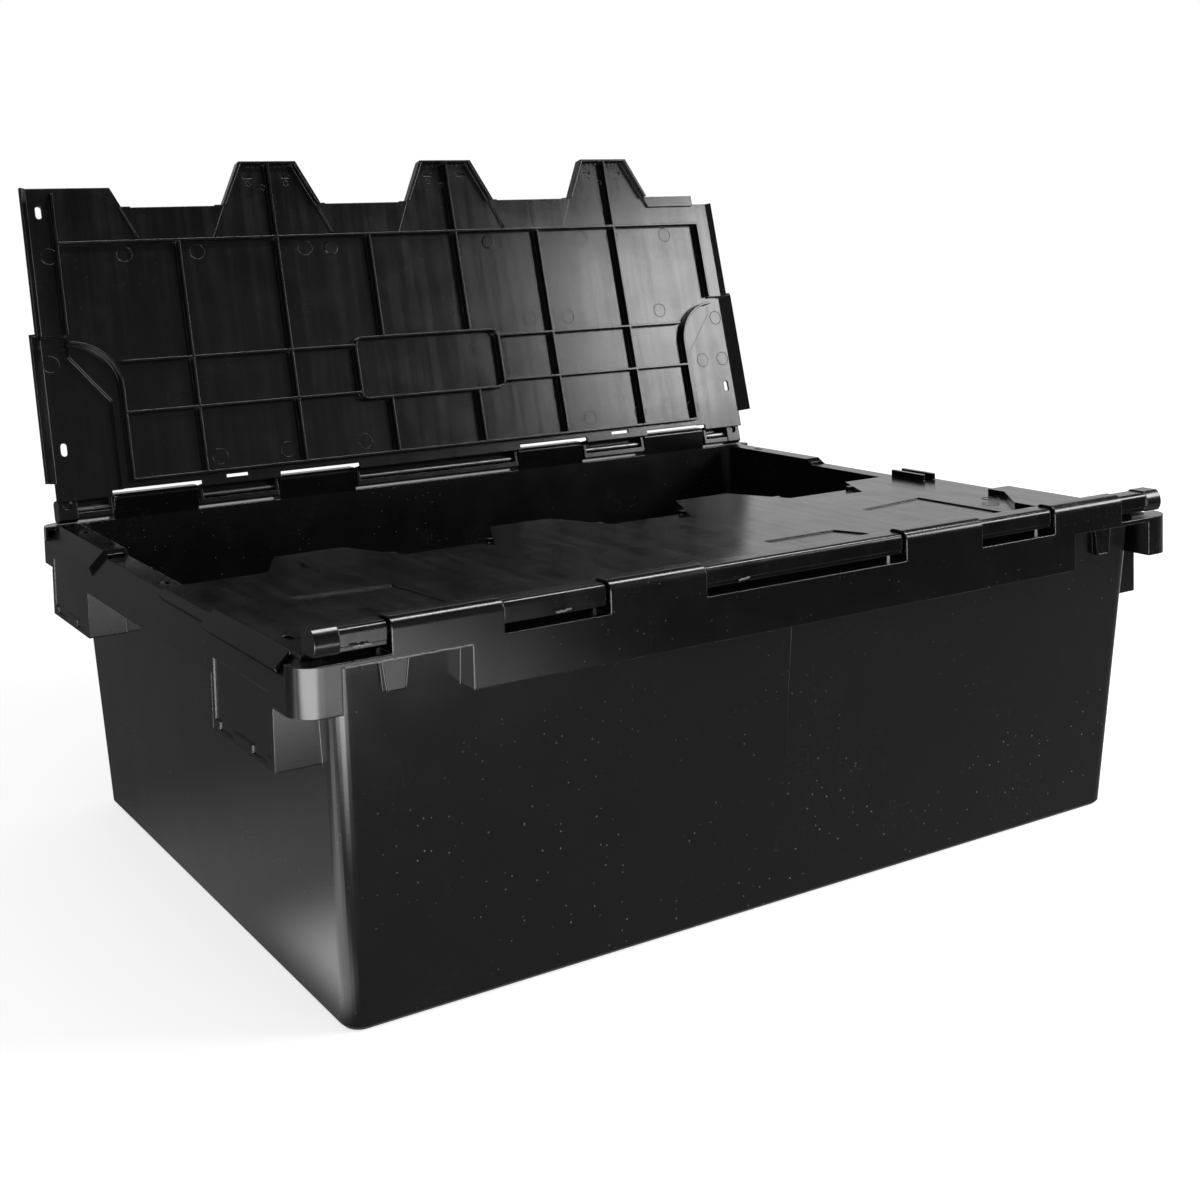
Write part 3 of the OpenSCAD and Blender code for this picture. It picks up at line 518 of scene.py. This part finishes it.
# %% Beads along the handle blocks and a seam in the wall
END_X, GRIP_Z, FOOT_Z, TOP_Z = 399.8, 219.2, 180.2, 220
BLOCK_NEAR, BLOCK_FAR = 149.2, 259.8
BLOCK_OUTLINE = ((BLOCK_NEAR, GRIP_Z), (BLOCK_NEAR, FOOT_Z), (BLOCK_FAR, FOOT_Z),
                 (BLOCK_FAR, TOP_Z))
block_edges = [[(sx * END_X, sy * y, z) for y, z in BLOCK_OUTLINE] for sx in BOTH for sy in BOTH]
block_edges += [[(sx * END_X, -BLOCK_NEAR, GRIP_Z), (sx * END_X, BLOCK_NEAR, GRIP_Z)]
                for sx in BOTH]
grow("tub_edge_beads", bead_tree, *paths(block_edges), "tub", "tub_plastic", mark_plastic,
     Wire=0.0005, Corner=0.0005)
WALL_FOOT_Y, WALL_LEAN = 263, 21 / 254
SEAM_ENDS = ((-3, 224), (-5, 115))
seam = [[(x, -WALL_FOOT_Y - WALL_LEAN * z, z) for x, z in SEAM_ENDS]]
grow("tub_wall_seam", bead_tree, *paths(seam), "tub", "tub_plastic", mark_plastic,
     Wire=0.0003, Corner=0.0)

# %% [markdown]
# ## Torn flash
# Where the halves of a mould meet, a little plastic squeezes out and tears off. It
# leaves a rough pale line along the short flanges beside the corner blocks. The path
# is cut into many points, a noise with a fixed seed pushes them about and changes
# the thickness, and a small profile is swept along.

# %% Flash tree
flash_and_glint_tree, given = shape_tree(
    "torn flash and glint specks", {"Wire": 0.0008, "Rough": 0.0016, "Cuts": 90, "Seed": 3.0})
line = add(flash_and_glint_tree, "GeometryNodeMeshToCurve", {"Mesh": given["Geometry"]}).outputs[0]
line = add(flash_and_glint_tree, "GeometryNodeResampleCurve",
           {"Curve": line, "Count": given["Cuts"]}).outputs[0]
spot = add(flash_and_glint_tree, "GeometryNodeInputPosition").outputs[0]
tearing = add(flash_and_glint_tree, "ShaderNodeTexNoise",
              {"Vector": spot, "W": given["Seed"], "Scale": 420.0, "Detail": 3.0},
              noise_dimensions="4D").outputs
centred = add(flash_and_glint_tree, "ShaderNodeVectorMath", {0: tearing["Color"], 1: (0.5, 0.5, 0.5)},
              operation="SUBTRACT").outputs[0]
push = add(flash_and_glint_tree, "ShaderNodeVectorMath", {0: centred, "Scale": given["Rough"]},
           operation="SCALE").outputs[0]
line = add(flash_and_glint_tree, "GeometryNodeSetPosition", {"Geometry": line, "Offset": push}).outputs[0]
thick = ramp(flash_and_glint_tree, tearing["Fac"], 0.35, 0.65, 0.15, 1.5)
line = add(flash_and_glint_tree, "GeometryNodeSetCurveRadius", {"Curve": line, "Radius": thick}).outputs[0]
flash = add(flash_and_glint_tree, "GeometryNodeCurveToMesh",
            {"Curve": line, "Profile Curve": round_path(flash_and_glint_tree, given["Wire"], 6),
             "Fill Caps": True})
close_tree(flash_and_glint_tree, given, flash.outputs[0])

# %% Flash on the flanges, painted glints on the knuckles
FLANGE_FROM, FLANGE_TO, FLANGE_Y, FLANGE_Z = 368, 280, 299.8, 250.6
flanges = [[(-s * FLANGE_FROM, -s * FLANGE_Y, FLANGE_Z), (-s * FLANGE_TO, -s * FLANGE_Y, FLANGE_Z)]
           for s in (1, -1)]
grow("tub_flash", flash_and_glint_tree, *paths(flanges), "tub", "tub_plastic", pale_flash_and_glint,
     Wire=0.0006, Rough=0.0014, Cuts=150)
# The pale specks on the lips of the shut lid's knuckles are painted glints, shaped like torn
# flash.
GLINT_SPECKS = ((-362, -350), (-217, -206), (-66, -57))
glint_specks = [[(start, -13, -4), (end, -13, -3.4)] for start, end in GLINT_SPECKS]
grow("front_lid_glint_specks", flash_and_glint_tree, *paths(glint_specks), "front_lid", "lid_plastic", pale_flash_and_glint,
     LIDS["front_lid"], Wire=0.0007, Rough=0.0045, Cuts=30)

# %% [markdown]
# ## Studio
# Black plastic shows its surroundings. One large softbox to the right fills the
# right half of the open lid and lights the shut one. All else that the gloss needs
# to see is a card: pale patches on the floor for the end wall and the upright
# corner, two upright grey walls, a bright strip above for the upper edges and a dark
# ceiling. Only the gloss sees the cards. The background is white through Light Path,
# so that no extra light falls on the box.

# %% Softbox
KEY_PLACE, KEY_AIM = (2.05, -1.25, 1.22), (0.1, 0.3, 0.45)
KEY_WIDTH, KEY_HEIGHT, KEY_GLOW = 1.3, 0.62, 11.5
key_data = bpy.data.lights.new("key", "AREA")
key_data.shape = "RECTANGLE"
key_data.size, key_data.size_y = KEY_WIDTH, KEY_HEIGHT
key_data.energy = KEY_GLOW * pi * KEY_WIDTH * KEY_HEIGHT
key = bpy.data.objects.new("key", key_data)
key.location = KEY_PLACE
key.rotation_euler = (Vector(KEY_AIM) - Vector(KEY_PLACE)).to_track_quat("-Z", "Y").to_euler()
bpy.context.scene.collection.objects.link(key)
print("key energy", round(key_data.energy, 1))

# %% World
FILL_LIGHT = 0.35


def background_rays(tree):
    """1 for rays from the camera, from gloss and through glass."""
    rays = add(tree, "ShaderNodeLightPath").outputs
    mask = calc(tree, "MAXIMUM", rays["Is Camera Ray"], rays["Is Glossy Ray"])
    return calc(tree, "MAXIMUM", mask, rays["Is Transmission Ray"])


world = bpy.data.worlds.new("studio")
bpy.context.scene.world = world
world.use_nodes = True
world_tree = world.node_tree
fill = world_tree.nodes["Background"]
fill.inputs["Color"].default_value = (1, 1, 1, 1)
fill.inputs["Strength"].default_value = FILL_LIGHT
white = add(world_tree, "ShaderNodeBackground", {"Color": (1, 1, 1, 1), "Strength": 1.0})
seen = add(world_tree, "ShaderNodeMixShader",
           {0: background_rays(world_tree), 1: fill.outputs[0], 2: white.outputs[0]})
world_tree.links.new(seen.outputs[0], world_tree.nodes["World Output"].inputs["Surface"])
print("world fill", FILL_LIGHT)

# %% Floor
FLOOR_GLOW = 0.7


def plate(name, low, high, z):
    """A level rectangle between two corners."""
    mesh = bpy.data.meshes.new(name)
    mesh.from_pydata([(low[0], low[1], z), (high[0], low[1], z), (high[0], high[1], z),
                      (low[0], high[1], z)], [], [(0, 1, 2, 3)])
    card = bpy.data.objects.new(name, mesh)
    bpy.context.scene.collection.objects.link(card)
    return card


floor = plate("floor", (-9, -9), (9, 9), 0)
floor_white = bpy.data.materials.new("floor_white")
floor_white.use_nodes = True
floor_tree = floor_white.node_tree
floor_shader = floor_tree.nodes["Principled BSDF"]
floor_shader.inputs["Base Color"].default_value = (0.92, 0.92, 0.92, 1)
floor_shader.inputs["Roughness"].default_value = 0.9
floor_shader.inputs["Specular IOR Level"].default_value = 0.0
floor_shader.inputs["Emission Color"].default_value = (1, 1, 1, 1)
floor_tree.links.new(product(floor_tree, background_rays(floor_tree), FLOOR_GLOW),
                     floor_shader.inputs["Emission Strength"])
floor.data.materials.append(floor_white)
print("floor ready")

# %% A card that only the gloss sees
def gloss_only(card, glow):
    """Lights a card to a given grey, which the camera and the diffuse light pass by."""
    material = bpy.data.materials.new(card.name)
    material.use_nodes = True
    tree = material.node_tree
    tree.nodes.remove(tree.nodes["Principled BSDF"])
    strength = glow(tree) if callable(glow) else glow
    light = add(tree, "ShaderNodeEmission", {"Color": (1, 1, 1, 1), "Strength": strength})
    tree.links.new(light.outputs[0], tree.nodes["Material Output"].inputs["Surface"])
    card.data.materials.append(material)
    card.visible_camera = card.visible_diffuse = False
    card.visible_shadow = card.visible_transmission = False
    print("card:", card.name)


# %% Floor card
FRONT_PATCH, LEFT_PATCH, NEAR_PATCH = 4.8, 11.0, 2.6
BEHIND_PALE, BEHIND_DARK, RIGHT_GREY = 0.30, 0.12, 0.8


def floor_glow(tree):
    """Grey in front with three bright patches, from pale to dark with the distance behind."""
    here = add(tree, "ShaderNodeTexCoord").outputs["Object"]
    axes = add(tree, "ShaderNodeSeparateXYZ", {0: here}).outputs
    x, y = axes["X"], axes["Y"]
    distance = ramp(tree, y, 0.0, 0.30, BEHIND_PALE, BEHIND_DARK)
    right = ramp(tree, x, 0.0, 0.6)
    behind = calc(tree, "ADD", product(tree, distance, calc(tree, "SUBTRACT", 1.0, right)),
                  product(tree, right, RIGHT_GREY))
    patch = product(tree, ramp(tree, y, -0.80, -1.0, 0.0, FRONT_PATCH),
                    ramp(tree, x, 0.28, -0.06))
    left = product(tree, ramp(tree, x, -0.41, -0.50, 0.0, LEFT_PATCH),
                   ramp(tree, y, -0.40, -0.66))
    near = product(tree, ramp(tree, x, -0.36, -0.40), NEAR_PATCH,
                   ramp(tree, y, -0.34, -0.26), ramp(tree, y, 0.0, -0.14))
    front = calc(tree, "ADD", ramp(tree, y, -0.95, -0.68, 0.05, 0.27),
                 calc(tree, "MAXIMUM", patch, left))
    front = calc(tree, "ADD", front, near)
    back = ramp(tree, y, -0.30, 0.0)
    return calc(tree, "ADD", product(tree, behind, back),
                product(tree, front, calc(tree, "SUBTRACT", 1.0, back)))


gloss_only(plate("floor_card", (-6, -6), (6, 6), 0.0004), floor_glow)

# %% Walls and ceiling
CARD_R, CARD_H, CARD_STEPS = 4.2, 4.5, 24
WALLS = {"front_card": (93, 345, 0.17), "back_card": (-15, 93, 0.75)}


def wall_card(name, start, end):
    """An upright round wall from one azimuth to another, in degrees."""
    turns = [radians(start + (end - start) * i / CARD_STEPS) for i in range(CARD_STEPS + 1)]
    mesh = bpy.data.meshes.new(name)
    mesh.from_pydata([(CARD_R * cos(a), CARD_R * sin(a), z) for z in (0, CARD_H) for a in turns],
                     [], [(i, i + 1, i + CARD_STEPS + 2, i + CARD_STEPS + 1)
                          for i in range(CARD_STEPS)])
    card = bpy.data.objects.new(name, mesh)
    bpy.context.scene.collection.objects.link(card)
    return card


for name, (start, end, glow) in WALLS.items():
    gloss_only(wall_card(name, start, end), glow)
gloss_only(plate("top_card", (-0.2, -0.95), (2.0, -0.45), 2.3), 20.0)
gloss_only(plate("ceiling_card", (-6, -6), (6, 3.0), 2.6), 0.04)
